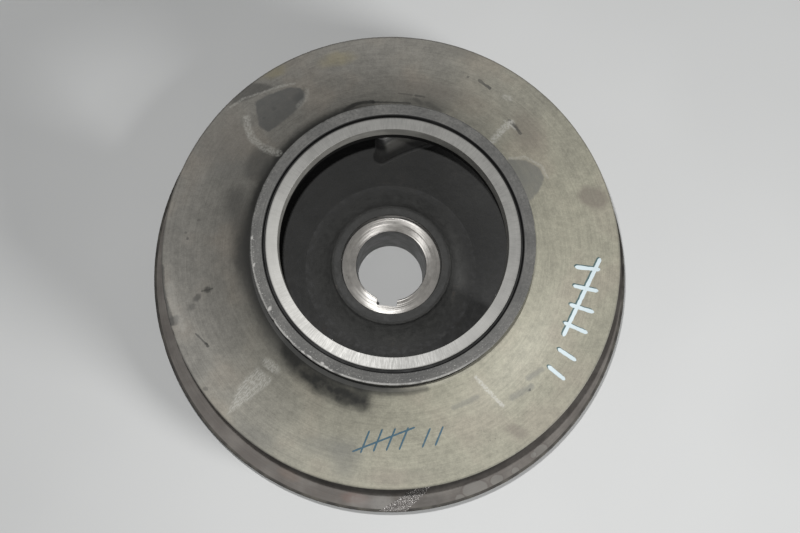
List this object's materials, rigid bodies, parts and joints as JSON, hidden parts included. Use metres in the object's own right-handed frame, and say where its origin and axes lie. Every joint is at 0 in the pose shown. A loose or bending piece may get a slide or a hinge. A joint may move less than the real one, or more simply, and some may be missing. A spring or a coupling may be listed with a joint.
{
  "type": "closed pump impeller",
  "caption": "Closed cast pump impeller: dished front shroud with suction neck and wear ring, curved vanes, wider back shroud and a bored hub with a key slot.",
  "frame": {"origin": "centre of the hub's rear face, where the shaft enters and on which the impeller rests", "axes": "+Z along the shaft towards the suction eye; the key slot points nearly along -Y"},
  "size_m": [0.335, 0.335, 0.1535],
  "materials": {
    "hub_metal": "dark cast skin, with a bright turned nut seat",
    "back_shroud_metal": "grey-brown turned face with water spots",
    "vane_metal": "rough dark cast skin",
    "front_shroud_metal": "turned, khaki-grey with dark stains",
    "neck_metal": "freshly turned, bright",
    "ring_metal": "turned, dull grey"
  },
  "bodies": {
    "root": {"hub": "hub_metal", "back_shroud": "back_shroud_metal", "vane_1": "vane_metal", "vane_2": "vane_metal", "vane_3": "vane_metal", "front_shroud": "front_shroud_metal", "neck": "neck_metal", "wear_ring": "ring_metal"}
  },
  "joints": []
}
